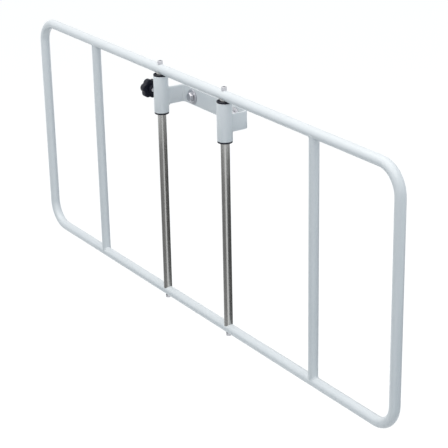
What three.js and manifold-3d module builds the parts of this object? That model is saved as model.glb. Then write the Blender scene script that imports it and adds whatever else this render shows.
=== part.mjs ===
// Bed guard rail on a sliding bracket, in millimetres with +Z up.
// The origin is the middle of the bracket strap's rear face, which lies against the bed.
// +X runs along the rail, +Y points towards the bed, and the rail is drawn fully lowered.
import * as THREE from 'three';
import { mergeVertices, toCreasedNormals } from 'three/addons/utils/BufferGeometryUtils.js';
import Module from 'manifold-3d';

const wasm = await Module();
wasm.setup();

// Rail frame: one tube bent into a rounded rectangle, its ends butted under the middle.
const railLength = 1000;
const railHeight = 400;
const frameTubeDiameter = 16;
const frameTubeWall = 1.5;
const cornerBendRadius = 40;
const railShift = 4;

// Painted upright bars, welded between the top and the bottom tube.
const barDiameter = 15;
const barWall = 1.5;
const barSpacing = 610;
const barPairShift = 7;

// Bright guide rods, screwed through both tubes.
const rodDiameter = 14;
const rodSpacing = 181;

// Socket cap screws that hold the rods' ends.
const rodScrewDiameter = 5;
const rodScrewLength = 31;
const rodScrewHeadDiameter = 8.5;
const rodScrewHeadHeight = 5;
const rodScrewHeadChamfer = 0.5;
const rodScrewSocketFlats = 4;
const rodScrewSocketDepth = 2.5;

// Flanged plastic bushes in both ends of each sleeve.
const bushWall = 1.4;
const bushSpigotLength = 14;
const bushFlangeOverhang = 3;
const bushFlangeThickness = 2.4;
const bushFlangeChamfer = 0.6;

// Sleeves that ride on the rods.
const sleeveWall = 3;
const sleeveLength = 60;
const sleeveChamfer = 0.7;

// Flat strap bent into a U, welded by its legs to the backs of the sleeves.
const strapWidth = 28;
const strapThickness = 4.5;
const strapReach = 44.5;
const strapBendRadius = 4;
const strapDrop = 21;
const strapLegInset = 1.5;

// Hexagon bolts and wide washers that fasten the strap to the bed.
const bedBoltDiameter = 8;
const bedBoltLength = 20;
const bedBoltFlats = 13;
const bedBoltHeadHeight = 5.3;
const bedBoltChamferDepth = 0.9;
const bedBoltInset = 30.5;
const washerDiameter = 24;
const washerThickness = 2;

// Star knob on a threaded stud, which clamps the left sleeve to its rod a little above mid height.
// The turn share is how far its lobes stand turned towards the bed, in lobe pitches.
const knobDiameter = 32;
const knobLobes = 6;
const knobLobeRadius = 5.5;
const knobScallopRadius = 3.9;
const knobTurnShare = 0.7;
const knobRise = 1;
const knobThickness = 11;
const knobEdgeRadius = 1.5;
const knobHubDiameter = 14;
const knobHubLength = 7;
const knobDomeHeight = 2;
const knobDomeInset = 6;
const studDiameter = 8;
const studShowing = 9.5;
const studEmbedment = 12;

// Clearances and modelling values shared by every piece.
const seatGap = 0.3;
const runningGap = 0.3;
const overrun = 5;
const roundSides = 24;
const sleeveSides = 32;
const bendSteps = 8;
const arcSteps = 6;
const smoothAngle = Math.PI / 5;

// Sizes that follow from the ones above.
const frameTubeRadius = frameTubeDiameter / 2;
const frameHalfLength = railLength / 2 - frameTubeRadius;
const frameHalfHeight = railHeight / 2 - frameTubeRadius;
const tubeSeatRadius = frameTubeRadius + seatGap;
const rodRadius = rodDiameter / 2;
const rodHalfSpacing = rodSpacing / 2;
const bushBoreRadius = rodRadius + runningGap;
const bushSpigotRadius = bushBoreRadius + bushWall;
const bushFlangeRadius = bushSpigotRadius + bushFlangeOverhang;
const sleeveBoreRadius = bushSpigotRadius + seatGap;
const sleeveRadius = sleeveBoreRadius + sleeveWall;
const studRadius = studDiameter / 2;
const knobRadius = knobDiameter / 2;
const knobHubRadius = knobHubDiameter / 2;

// Levels and planes, counted from the strap's rear face and mid height.
const rodPlaneY = -strapReach;
const sleeveTopZ = strapWidth / 2 + strapDrop;
const sleeveMiddleZ = sleeveTopZ - sleeveLength / 2;
const railStopZ = sleeveTopZ + seatGap + bushFlangeThickness + runningGap;
const railMiddleZ = railStopZ + frameTubeRadius - frameHalfHeight;

// Finishes.
const whitePaint = new THREE.MeshStandardMaterial({ color: 0xe6edf1, roughness: 0.32, metalness: 0 });
const brightSteel = new THREE.MeshStandardMaterial({ color: 0xa3a39f, roughness: 0.3, metalness: 1 });
const zincPlate = new THREE.MeshStandardMaterial({ color: 0xc4c6cb, roughness: 0.35, metalness: 1 });
const blackPlastic = new THREE.MeshStandardMaterial({ color: 0x15161b, roughness: 0.5, metalness: 0 });

// Turns a closed three.js geometry into a solid that can be joined and cut.
function toSolid(geometry) {
  const bare = geometry.clone();
  bare.deleteAttribute('normal');
  bare.deleteAttribute('uv');
  const merged = mergeVertices(bare);
  const corners = merged.index.array;
  const triangles = [];
  for (let i = 0; i < corners.length; i += 3) {
    const [a, b, c] = [corners[i], corners[i + 1], corners[i + 2]];
    if (a !== b && b !== c && c !== a) {
      triangles.push(a, b, c);
    }
  }
  const vertProperties = Float32Array.from(merged.attributes.position.array);
  const triVerts = Uint32Array.from(triangles);
  return new wasm.Manifold(new wasm.Mesh({ numProp: 3, vertProperties, triVerts }));
}

// Gives a solid back as a geometry with smooth round faces and sharp edges.
function toGeometry(solid) {
  const { vertProperties, triVerts } = solid.getMesh();
  const geometry = new THREE.BufferGeometry();
  geometry.setAttribute('position', new THREE.BufferAttribute(vertProperties, 3));
  geometry.setIndex(new THREE.BufferAttribute(triVerts, 1));
  return toCreasedNormals(geometry, smoothAngle);
}

// A named mesh of one solid, placed in its group.
function piece(name, solid, material, x, y, z) {
  const mesh = new THREE.Mesh(toGeometry(solid), material.clone());
  mesh.name = name;
  mesh.position.set(x, y, z);
  return mesh;
}

// Round bar about the Z axis, from one level to another.
function rodAlongZ(radius, fromZ, toZ, sides = roundSides) {
  const geometry = new THREE.CylinderGeometry(radius, radius, toZ - fromZ, sides);
  geometry.rotateX(Math.PI / 2);
  geometry.translate(0, 0, (fromZ + toZ) / 2);
  return toSolid(geometry);
}

// Round bar about a line along X at height z.
function rodAlongX(radius, length, z) {
  const geometry = new THREE.CylinderGeometry(radius, radius, length, roundSides);
  geometry.rotateZ(Math.PI / 2);
  geometry.translate(0, 0, z);
  return toSolid(geometry);
}

// Solid turned about Z from [radius, z] points that end on the axis or close on themselves.
function turned(profile, sides = roundSides) {
  const points = profile.map(([radius, z]) => new THREE.Vector2(radius, z));
  const geometry = new THREE.LatheGeometry(points, sides);
  geometry.rotateX(Math.PI / 2);
  return toSolid(geometry);
}

// Path of the bent tube in the XZ plane, read only at its stations: two at each straight's ends
// and the steps of each bend between them.
class BentTubePath extends THREE.Curve {
  constructor(halfLength, halfHeight, bendRadius, jointGap) {
    super();
    this.points = [new THREE.Vector3(jointGap / 2, 0, -halfHeight)];
    this.tangents = [new THREE.Vector3(1, 0, 0)];
    const bendX = halfLength - bendRadius;
    const bendZ = halfHeight - bendRadius;
    const bendCentres = [[bendX, -bendZ], [bendX, bendZ], [-bendX, bendZ], [-bendX, -bendZ]];
    bendCentres.forEach(([centreX, centreZ], corner) => {
      for (let step = 0; step <= bendSteps; step += 1) {
        const angle = (corner - 1 + step / bendSteps) * Math.PI / 2;
        const outward = new THREE.Vector3(Math.cos(angle), 0, Math.sin(angle));
        this.points.push(new THREE.Vector3(centreX, 0, centreZ).addScaledVector(outward, bendRadius));
        this.tangents.push(new THREE.Vector3(-Math.sin(angle), 0, Math.cos(angle)));
      }
    });
    this.points.push(new THREE.Vector3(-jointGap / 2, 0, -halfHeight));
    this.tangents.push(new THREE.Vector3(1, 0, 0));
    this.steps = this.points.length - 1;
  }

  getUtoTmapping(u) {
    return u;
  }

  getPoint(t) {
    return this.points[Math.round(t * this.steps)].clone();
  }

  getTangent(t) {
    return this.tangents[Math.round(t * this.steps)].clone();
  }
}

// Hollow frame tube, with holes through both walls where the rods' screws pass.
function frameTube() {
  const path = new BentTubePath(frameHalfLength, frameHalfHeight, cornerBendRadius, seatGap);
  const section = new THREE.Shape();
  section.absarc(0, 0, frameTubeRadius, 0, 2 * Math.PI);
  const bore = new THREE.Path();
  bore.absarc(0, 0, frameTubeRadius - frameTubeWall, 0, 2 * Math.PI, true);
  section.holes.push(bore);
  const settings = { steps: path.steps, extrudePath: path, curveSegments: roundSides / 2 };
  let tube = toSolid(new THREE.ExtrudeGeometry(section, settings));
  const holeReach = frameHalfHeight + frameTubeRadius + overrun;
  for (const side of [-1, 1]) {
    const hole = rodAlongZ(rodScrewDiameter / 2 + seatGap, -holeReach, holeReach);
    tube = tube.subtract(hole.translate([side * rodHalfSpacing - railShift, 0, 0]));
  }
  return tube;
}

// Upright whose ends are coped to lie against the top and the bottom tube.
function copedUpright(radius) {
  let upright = rodAlongZ(radius, -frameHalfHeight, frameHalfHeight);
  for (const end of [-1, 1]) {
    upright = upright.subtract(rodAlongX(tubeSeatRadius, 2 * radius + overrun, end * frameHalfHeight));
  }
  return upright;
}

// Tubular painted bar.
function weldedBar() {
  const reach = frameHalfHeight + overrun;
  return copedUpright(barDiameter / 2).subtract(rodAlongZ(barDiameter / 2 - barWall, -reach, reach));
}

// Solid guide rod with a screw hole in each end.
function guideRod() {
  const holeRadius = rodScrewDiameter / 2 + seatGap;
  const holeBottom = frameHalfHeight + frameTubeRadius - rodScrewLength - seatGap;
  const holeTop = frameHalfHeight + overrun;
  const topHole = rodAlongZ(holeRadius, holeBottom, holeTop);
  const bottomHole = rodAlongZ(holeRadius, -holeTop, -holeBottom);
  return copedUpright(rodRadius).subtract(topHole).subtract(bottomHole);
}

// Cap screw: z = 0 is the crest of the tube it sits on, and the shank points down.
function rodScrew() {
  const headRadius = rodScrewHeadDiameter / 2;
  const headTop = seatGap + rodScrewHeadHeight;
  const socketFloor = headTop - rodScrewSocketDepth;
  const socketRadius = rodScrewSocketFlats / Math.sqrt(3);
  const head = turned([
    [0, seatGap],
    [headRadius, seatGap],
    [headRadius, headTop - rodScrewHeadChamfer],
    [headRadius - rodScrewHeadChamfer, headTop],
    [0, headTop],
  ]);
  const socket = new THREE.CylinderGeometry(socketRadius, socketRadius, headTop, 6);
  socket.rotateX(Math.PI / 2);
  socket.translate(0, 0, socketFloor + headTop / 2);
  return head
    .add(rodAlongZ(rodScrewDiameter / 2, -rodScrewLength, socketFloor))
    .subtract(toSolid(socket));
}

// Rail frame with its bars, rods and screws, about the middle of the rounded rectangle.
function rail() {
  const group = new THREE.Group();
  group.position.set(0, rodPlaneY, railMiddleZ);
  group.add(piece('frame_tube', frameTube(), whitePaint, railShift, 0, 0));
  for (const [side, label] of [[-1, 'left'], [1, 'right']]) {
    const barX = barPairShift + side * barSpacing / 2;
    const rodX = side * rodHalfSpacing;
    const crestZ = frameHalfHeight + frameTubeRadius;
    const bottomScrew = piece(`bottom_screw_${label}`, rodScrew(), zincPlate, rodX, 0, -crestZ);
    bottomScrew.rotation.x = Math.PI;
    group.add(
      piece(`bar_${label}`, weldedBar(), whitePaint, barX, 0, 0),
      piece(`guide_rod_${label}`, guideRod(), brightSteel, rodX, 0, 0),
      piece(`top_screw_${label}`, rodScrew(), zincPlate, rodX, 0, crestZ),
      bottomScrew,
    );
  }
  return group;
}

// Sleeve about its own middle; the clamped one has a hole for the stud on its -X side.
function sleeve(hasStudHole) {
  const end = sleeveLength / 2;
  const body = turned([
    [sleeveBoreRadius, -end],
    [sleeveRadius - sleeveChamfer, -end],
    [sleeveRadius, sleeveChamfer - end],
    [sleeveRadius, end - sleeveChamfer],
    [sleeveRadius - sleeveChamfer, end],
    [sleeveBoreRadius, end],
    [sleeveBoreRadius, -end],
  ], sleeveSides);
  if (!hasStudHole) {
    return body;
  }
  const holeLength = sleeveRadius + overrun;
  const hole = rodAlongX(studRadius + runningGap, holeLength, knobRise);
  return body.subtract(hole.translate([-holeLength / 2, 0, 0]));
}

// Flanged bush: z = 0 is the seat of its flange, and the spigot points down.
function bush() {
  return turned([
    [bushBoreRadius, -bushSpigotLength],
    [bushSpigotRadius, -bushSpigotLength],
    [bushSpigotRadius, 0],
    [bushFlangeRadius, 0],
    [bushFlangeRadius, bushFlangeThickness - bushFlangeChamfer],
    [bushFlangeRadius - bushFlangeChamfer, bushFlangeThickness],
    [bushBoreRadius, bushFlangeThickness],
    [bushBoreRadius, -bushSpigotLength],
  ], sleeveSides);
}

// U-shaped strap, its legs coped to the sleeves and its back drilled for the bolts.
function strap() {
  const outer = rodHalfSpacing - strapLegInset + strapThickness / 2;
  const inner = outer - strapThickness;
  const outerBend = strapBendRadius + strapThickness;
  const quarter = Math.PI / 2;
  const outline = new THREE.Shape();
  outline.moveTo(-inner, rodPlaneY);
  outline.lineTo(-inner, -outerBend);
  outline.absarc(strapBendRadius - inner, -outerBend, strapBendRadius, 2 * quarter, quarter, true);
  outline.absarc(inner - strapBendRadius, -outerBend, strapBendRadius, quarter, 0, true);
  outline.lineTo(inner, rodPlaneY);
  outline.lineTo(outer, rodPlaneY);
  outline.absarc(outer - outerBend, -outerBend, outerBend, 0, quarter);
  outline.absarc(outerBend - outer, -outerBend, outerBend, quarter, 2 * quarter);
  outline.lineTo(-outer, rodPlaneY);
  const settings = { depth: strapWidth, bevelEnabled: false, curveSegments: arcSteps / 2 };
  const bar = new THREE.ExtrudeGeometry(outline, settings);
  bar.translate(0, 0, -strapWidth / 2);
  let body = toSolid(bar);
  const cutReach = strapWidth / 2 + overrun;
  for (const side of [-1, 1]) {
    const cope = rodAlongZ(sleeveRadius + seatGap, -cutReach, cutReach, sleeveSides);
    const hole = rodAlongZ(bedBoltDiameter / 2 + seatGap, -cutReach, cutReach).rotate([90, 0, 0]);
    body = body.subtract(cope.translate([side * rodHalfSpacing, rodPlaneY, 0]));
    body = body.subtract(hole.translate([side * (rodHalfSpacing - bedBoltInset), 0, 0]));
  }
  return body;
}

// Hexagon bolt: z = 0 is the seat of its head, and the shank points down.
function bedBolt() {
  const cornerRadius = bedBoltFlats / Math.sqrt(3);
  const hexagon = new THREE.CylinderGeometry(cornerRadius, cornerRadius, bedBoltHeadHeight, 6);
  hexagon.rotateX(Math.PI / 2);
  hexagon.translate(0, 0, bedBoltHeadHeight / 2);
  const crown = turned([
    [0, -overrun],
    [cornerRadius + overrun, -overrun],
    [cornerRadius, bedBoltHeadHeight - bedBoltChamferDepth],
    [bedBoltFlats / 2 - bedBoltChamferDepth / 2, bedBoltHeadHeight],
    [0, bedBoltHeadHeight],
  ]);
  const shank = rodAlongZ(bedBoltDiameter / 2, -bedBoltLength, bedBoltHeadHeight / 2);
  return toSolid(hexagon).intersect(crown).add(shank);
}

// Washer that lies on z = 0.
function washer() {
  const hole = bedBoltDiameter / 2 + seatGap;
  const rim = washerDiameter / 2;
  return turned([
    [hole, 0],
    [rim, 0],
    [rim, washerThickness],
    [hole, washerThickness],
    [hole, 0],
  ], sleeveSides);
}

// Bolt and washer for one side, with +Z of the group pointing out of the strap's front face.
function bedFastener(side, label) {
  const group = new THREE.Group();
  group.position.set(side * (rodHalfSpacing - bedBoltInset), -strapThickness, 0);
  group.rotation.x = Math.PI / 2;
  group.add(
    piece(`washer_${label}`, washer(), zincPlate, 0, 0, seatGap),
    piece(`bed_bolt_${label}`, bedBolt(), zincPlate, 0, 0, 2 * seatGap + washerThickness),
  );
  return group;
}

// Strap, sleeves, bushes and bed fasteners.
function bracket() {
  const group = new THREE.Group();
  group.add(piece('strap', strap(), whitePaint, 0, 0, 0));
  for (const [side, label] of [[-1, 'left'], [1, 'right']]) {
    const station = new THREE.Group();
    const seatZ = sleeveLength / 2 + seatGap;
    const lowerBush = piece(`lower_bush_${label}`, bush(), blackPlastic, 0, 0, -seatZ);
    lowerBush.rotation.x = Math.PI;
    station.position.set(side * rodHalfSpacing, rodPlaneY, sleeveMiddleZ);
    station.add(
      piece(`sleeve_${label}`, sleeve(side < 0), whitePaint, 0, 0, 0),
      piece(`upper_bush_${label}`, bush(), blackPlastic, 0, 0, seatZ),
      lowerBush,
    );
    group.add(station, bedFastener(side, label));
  }
  return group;
}

// Star outline: round lobes joined by round scallops that touch them without a corner.
function starOutline() {
  const halfPitch = Math.PI / knobLobes;
  const lobeCentre = knobRadius - knobEdgeRadius - knobLobeRadius;
  const reach = knobLobeRadius + knobScallopRadius;
  const sideways = lobeCentre * Math.sin(halfPitch);
  const scallopCentre = lobeCentre * Math.cos(halfPitch) + Math.sqrt(reach ** 2 - sideways ** 2);
  const turnIn = Math.asin(sideways / reach);
  const outline = new THREE.Shape();
  for (let lobe = 0; lobe < knobLobes; lobe += 1) {
    const lobeAngle = 2 * halfPitch * lobe;
    const scallopAngle = lobeAngle + halfPitch;
    const lobeSweep = halfPitch + turnIn;
    outline.absarc(
      lobeCentre * Math.cos(lobeAngle), lobeCentre * Math.sin(lobeAngle), knobLobeRadius,
      lobeAngle - lobeSweep, lobeAngle + lobeSweep);
    outline.absarc(
      scallopCentre * Math.cos(scallopAngle), scallopCentre * Math.sin(scallopAngle), knobScallopRadius,
      scallopAngle + Math.PI + turnIn, scallopAngle + Math.PI - turnIn, true);
  }
  return outline;
}

// Star knob: z = 0 is the hub's face towards the sleeve, and the lobes are further out.
function knob() {
  const settings = {
    depth: knobThickness - 2 * knobEdgeRadius,
    bevelThickness: knobEdgeRadius,
    bevelSize: knobEdgeRadius,
    bevelSegments: 2,
    curveSegments: arcSteps / 2,
  };
  const star = new THREE.ExtrudeGeometry(starOutline(), settings);
  star.translate(0, 0, knobHubLength + knobEdgeRadius);
  const lobesEnd = knobHubLength + knobThickness;
  const domeRadius = knobRadius - knobDomeInset;
  const domeBase = knobHubLength + knobEdgeRadius;
  const domeProfile = [[0, domeBase], [domeRadius, domeBase]];
  for (let step = 0; step <= arcSteps; step += 1) {
    const radiusShare = 1 - step / arcSteps;
    domeProfile.push([domeRadius * radiusShare, lobesEnd + knobDomeHeight * (1 - radiusShare ** 2)]);
  }
  return toSolid(star)
    .add(turned(domeProfile))
    .add(rodAlongZ(knobHubRadius, 0, knobHubLength + knobThickness / 2))
    .subtract(rodAlongZ(studRadius + seatGap, -overrun, studEmbedment + seatGap));
}

// Knob and stud, with +Z of the group pointing from the left rod's axis out through the sleeve.
function rodLock() {
  const group = new THREE.Group();
  const hubZ = sleeveRadius + studShowing;
  const tipZ = rodRadius + seatGap;
  const starKnob = piece('knob', knob(), blackPlastic, 0, 0, hubZ);
  starKnob.rotation.z = knobTurnShare * 2 * Math.PI / knobLobes;
  group.position.set(-rodHalfSpacing, rodPlaneY, sleeveMiddleZ + knobRise);
  group.rotation.y = -Math.PI / 2;
  group.add(
    starKnob,
    piece('lock_stud', rodAlongZ(studRadius, tipZ, hubZ + studEmbedment), zincPlate, 0, 0, 0),
  );
  return group;
}

const guardRail = new THREE.Group();
guardRail.add(rail(), bracket(), rodLock());

export default guardRail;
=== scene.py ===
import math
from types import SimpleNamespace

import bmesh
import bpy
from mathutils import Matrix, Vector


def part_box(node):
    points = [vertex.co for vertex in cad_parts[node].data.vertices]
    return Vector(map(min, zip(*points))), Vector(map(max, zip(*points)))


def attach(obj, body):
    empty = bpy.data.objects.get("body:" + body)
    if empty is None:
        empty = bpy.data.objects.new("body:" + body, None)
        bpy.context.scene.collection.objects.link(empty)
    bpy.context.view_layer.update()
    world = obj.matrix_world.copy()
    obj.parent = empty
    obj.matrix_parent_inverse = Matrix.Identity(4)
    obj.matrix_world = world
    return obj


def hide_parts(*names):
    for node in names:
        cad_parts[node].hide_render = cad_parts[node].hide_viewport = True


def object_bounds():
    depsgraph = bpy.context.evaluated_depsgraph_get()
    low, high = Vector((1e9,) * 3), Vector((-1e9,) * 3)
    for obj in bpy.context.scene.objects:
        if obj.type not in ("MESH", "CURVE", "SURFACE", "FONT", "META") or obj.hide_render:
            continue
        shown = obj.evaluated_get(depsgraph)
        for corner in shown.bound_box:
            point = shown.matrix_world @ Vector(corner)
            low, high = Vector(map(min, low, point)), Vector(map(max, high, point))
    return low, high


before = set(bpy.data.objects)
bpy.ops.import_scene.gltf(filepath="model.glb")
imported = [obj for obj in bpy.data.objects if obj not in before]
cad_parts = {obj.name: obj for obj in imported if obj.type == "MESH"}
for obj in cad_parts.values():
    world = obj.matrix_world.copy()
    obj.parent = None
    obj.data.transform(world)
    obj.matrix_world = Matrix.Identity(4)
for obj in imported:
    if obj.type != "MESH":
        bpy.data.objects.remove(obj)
cad_low, cad_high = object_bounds()

bl_info = {
    "name": "Bed guard rail",
    "version": (1, 0, 0),
    "blender": (4, 5, 0),
    "location": "3D View > Sidebar > Guard rail",
    "description": "Fine meshes, finishes, lamps and camera for a sliding bed guard rail",
    "category": "Add Mesh",
}

SIDES = ("left", "right")
QUARTER = math.pi / 2
FULL_TURN = 2 * math.pi
MERGE_DISTANCE = 0.000002
RADIUS_TOLERANCE = 0.00001
SHARP_ANGLE = math.radians(32)
ORIGIN = (0, 0, 0)
UP = (0, 0, 1)

# Names of the finishes.
PAINT = "White powder coat"
STEEL = "Bright ground steel"
ZINC = "Zinc plate"
PLASTIC = "Black moulded plastic"

# Segments round the beads, holes and turned pieces. A screw or bolt has a multiple of six, for its hexagon.
BEAD_SEGMENTS = 12
HOLE_SEGMENTS = 48
HUB_SEGMENTS = 64
SCREW_SEGMENTS = 72
BUSH_SEGMENTS = 80
WASHER_SEGMENTS = 80
BOLT_SEGMENTS = 96
DOME_SEGMENTS = 96
SLEEVE_SEGMENTS = 96


# Sizes and colours that a user would change.
def length(name, description, default):
    """A length in metres."""
    return bpy.props.FloatProperty(
        name=name, description=description, default=default, min=0, precision=5,
        subtype="DISTANCE", unit="LENGTH")


def share(name, description, default):
    """A number from 0 to 1."""
    return bpy.props.FloatProperty(
        name=name, description=description, default=default, min=0, max=1, subtype="FACTOR")


def count(name, description, default):
    """A whole number."""
    return bpy.props.IntProperty(name=name, description=description, default=default, min=1)


def colour(name, description, default):
    """A linear colour."""
    return bpy.props.FloatVectorProperty(
        name=name, description=description, default=default, size=3, min=0, max=1, subtype="COLOR")


def angle(name, description, default_degrees):
    """An angle, written in degrees."""
    return bpy.props.FloatProperty(
        name=name, description=description, default=math.radians(default_degrees),
        subtype="ANGLE", unit="ROTATION")


def power(name, description, default):
    """A lamp's power in watts."""
    return bpy.props.FloatProperty(
        name=name, description=description, default=default, min=0, subtype="POWER", unit="POWER")


def position(name, description, default):
    """A place, or an offset from one, in metres."""
    return bpy.props.FloatVectorProperty(
        name=name, description=description, default=default, size=3, subtype="XYZ", unit="LENGTH")


class RailShape(bpy.types.PropertyGroup):
    """Frame tube, bars and rods."""
    bend_radius: length("Bend radius", "Radius of the tube's centre line in its corners", 0.04)
    bend_steps: count("Bend steps", "Steps round each corner of the tube", 24)
    tube_sides: count("Tube sides", "Sides round every tube and rod", 64)
    weld_bite: length("Weld bite", "How far a welded end runs into what carries it", 0.0002)


class WeldShape(bpy.types.PropertyGroup):
    """Painted weld beads."""
    bar_bead: length("Bar bead", "Radius of the bead round a bar's end", 0.0013)
    strap_bead: length("Strap bead", "Radius of the bead round a leg of the strap", 0.0022)
    seam_bead: length("Seam bead", "Radius of the ground bead where the frame tube's ends meet", 0.0011)
    ripple_pitch: length("Ripple pitch", "Length of one ripple of a bead", 0.0018)
    ripple_depth: share("Ripple depth", "Depth of the ripples as a share of the bead's radius", 0.1)
    side_slimness: share("Side slimness", "How much thinner a bar's bead is beside the tube", 0.55)


class BracketShape(bpy.types.PropertyGroup):
    """Sleeves, bushes and strap."""
    sleeve_edge: length("Sleeve edge", "Rounding of the sleeves' ends", 0.0007)
    bush_wall: length("Bush wall", "Wall of a bush inside its sleeve", 0.0014)
    bush_clearance: length("Bush clearance", "Gap between a bush and its rod", 0.0003)
    bush_flange: length("Bush flange", "Thickness of a bush's flange", 0.0024)
    bush_edge: length("Bush edge", "Rounding of a bush's edges", 0.0006)
    seat_gap: length("Seat gap", "Gap between pieces that seat on each other", 0.0003)
    strap_thickness: length("Strap thickness", "Thickness of the strap's flat steel", 0.0045)
    strap_bend: length("Strap bend", "Inner radius of the strap's bends", 0.004)
    strap_edge: length("Strap edge", "Rounding of the strap's edges", 0.0008)
    hole_flare: length("Hole flare", "Chamfer at the mouth of each hole", 0.0004)


class FastenerShape(bpy.types.PropertyGroup):
    """Bolts, washers, screws and stud."""
    screw_edge: length("Screw edge", "Rounding of the top of a rod screw's head", 0.0005)
    screw_radius: length("Screw radius", "Radius of a rod screw's shank", 0.0025)
    socket_flats: length("Socket flats", "Size of the hexagon socket in a rod screw", 0.004)
    socket_depth: length("Socket depth", "Depth of the hexagon socket in a rod screw", 0.0025)
    bolt_head: length("Bolt head", "Height of a bed bolt's head", 0.0053)
    head_chamfer: angle("Head chamfer", "Slope of the chamfer on a bolt's head", 30)
    bolt_radius: length("Bolt radius", "Radius of a bed bolt's shank", 0.004)
    washer_edge: length("Washer edge", "Rounding of a washer's edges", 0.0003)
    thread_pitch: length("Thread pitch", "Pitch of the bolts' and the stud's thread", 0.00125)
    thread_depth: length("Thread depth", "Depth of that thread", 0.0007)
    thread_lead: length("Thread lead", "Chamfer at the end of a thread", 0.0009)
    small_edge: length("Small edge", "Rounding of bolt heads, and depth of the heads' dishes", 0.0002)


class KnobShape(bpy.types.PropertyGroup):
    """Star knob."""
    radius: length("Radius", "Distance from the knob's axis to the tip of a lobe", 0.01595)
    lobes: count("Lobes", "Number of lobes round the knob", 6)
    lobe_radius: length("Lobe radius", "Radius of a lobe's outline", 0.007)
    scallop_radius: length("Scallop radius", "Radius of the hollow between two lobes", 0.0024)
    turn: angle("Turn", "How far the first lobe stands from straight up, towards the bed", 42)
    hub_radius: length("Hub radius", "Radius of the knob's hub", 0.007)
    hub_length: length("Hub length", "Length of the hub behind the lobes", 0.007)
    dome_height: length("Dome height", "Height of the domed cap over the lobes", 0.002)
    dome_inset: length("Dome inset", "Distance from the knob's rim to the dome", 0.006)
    edge_radius: length("Edge radius", "Rounding of the lobes", 0.0018)
    hub_edge: length("Hub edge", "Rounding of the hub's end", 0.0006)


class Finishes(bpy.types.PropertyGroup):
    """Colours of the finishes."""
    paint: colour("Paint", "White powder coat", (0.88, 0.9, 0.915))
    paint_shade: share("Paint shade", "Brightness of the paint's duller patches against the rest", 0.965)
    paint_worn: colour("Worn paint", "Powder coat where edges rub thin", (0.62, 0.66, 0.69))
    paint_dust: colour("Dust on paint", "Dust on the paint that faces up", (0.8, 0.79, 0.76))
    steel: colour("Steel", "Ground steel of the rods", (0.5, 0.5, 0.49))
    steel_dark: colour("Dark steel", "Deeper streaks in the ground steel", (0.36, 0.36, 0.355))
    steel_pale: colour("Pale steel", "Fine bright scratches in the ground steel", (0.65, 0.65, 0.637))
    zinc: colour("Zinc", "Zinc plate of the fasteners", (0.68, 0.69, 0.74))
    zinc_dull: colour("Dull zinc", "Duller crystals in the zinc plate", (0.42, 0.43, 0.48))
    zinc_stain: colour("Stained zinc", "Stains on the zinc plate", (0.6, 0.58, 0.5))
    zinc_polished: colour("Polished zinc", "Zinc plate that edges have rubbed bright", (0.86, 0.87, 0.9))
    plastic: colour("Plastic", "Moulded black plastic", (0.007, 0.008, 0.018))
    plastic_rubbed: colour("Rubbed plastic", "Plastic where hands have rubbed it", (0.03, 0.03, 0.042))
    plastic_dust: colour("Dust on plastic", "Dust on the plastic that faces up", (0.12, 0.12, 0.125))


class StageShape(bpy.types.PropertyGroup):
    """Floor, lamps, screens and camera."""
    floor_drop: length("Floor drop", "Distance from the rail's lowest point to the floor", 0.42)
    floor_size: length("Floor size", "Side of the square floor", 14.0)
    floor_glow: share("Floor glow", "White that the floor shows even in shadow", 0.925)
    floor_seen: colour("Floor", "Colour of the floor that shows its shadow", (0.2, 0.2, 0.2))
    floor_bounce: colour("Floor bounce", "Floor as its light reaches the rail", (0.6, 0.6, 0.6))
    ambient: colour("Ambient", "Light of the room", (0.265, 0.335, 0.385))
    key_power: power("Key power", "Power of the lamp overhead", 41)
    key_colour: colour("Key colour", "Colour of the lamp overhead", (1, 0.965, 0.93))
    key_size: length("Key size", "Side of the lamp overhead", 3.0)
    key_place: position("Key place", "Offset of the lamp overhead from the rail's middle", (0.1, -0.65, 1.7))
    fill_power: power("Fill power", "Power of the lamp beyond the right end", 5)
    fill_size: length("Fill size", "Side of the lamp beyond the right end", 1.4)
    fill_place: position("Fill place", "Offset of that lamp from the rail's middle", (1.8, 0.7, 0.5))
    screen_radius: length("Screen radius", "Distance of the screens that the metal reflects", 0.8)
    screen_drop: length("Screen drop", "Distance from the bracket's middle down to those screens' top", 0.29)
    left_tone: share("Left screen", "Tone of the screen on the camera's left", 0.3)
    left_start: angle("Left screen's start", "Angle from the camera's direction to its near edge", -16)
    left_end: angle("Left screen's end", "Angle from the camera's direction to its far edge", -125)
    right_tone: share("Right screen", "Tone of the screen on the camera's right", 0.12)
    right_start: angle("Right screen's start", "Angle from the camera's direction to its near edge", 20)
    right_end: angle("Right screen's end", "Angle from the camera's direction to its far edge", 165)
    focal_length: bpy.props.FloatProperty(
        name="Focal length", description="Camera's focal length in millimetres on a 36 mm sensor",
        default=118.96, min=1)
    camera_yaw: angle("Camera yaw", "Turn of the camera about the vertical, from looking along +Y", 56.436)
    camera_pitch: angle("Camera pitch", "How far the camera looks down", 21.944)
    camera_roll: angle("Camera roll", "Turn of the camera about its line of sight", -1.146)
    camera_place: position("Camera place", "Where the camera stands", (1.85396, -1.2194, 0.6929))


class GuardRailSettings(bpy.types.PropertyGroup):
    """Every setting of the guard rail."""
    rail: bpy.props.PointerProperty(type=RailShape)
    weld: bpy.props.PointerProperty(type=WeldShape)
    bracket: bpy.props.PointerProperty(type=BracketShape)
    fastener: bpy.props.PointerProperty(type=FastenerShape)
    knob: bpy.props.PointerProperty(type=KnobShape)
    finish: bpy.props.PointerProperty(type=Finishes)
    stage: bpy.props.PointerProperty(type=StageShape)


# Places read from the frame.
def centre_of(node):
    """Middle of a node's box."""
    low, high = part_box(node)
    return (low + high) / 2


def extent_of(node):
    """Size of a node's box."""
    low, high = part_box(node)
    return high - low


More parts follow.
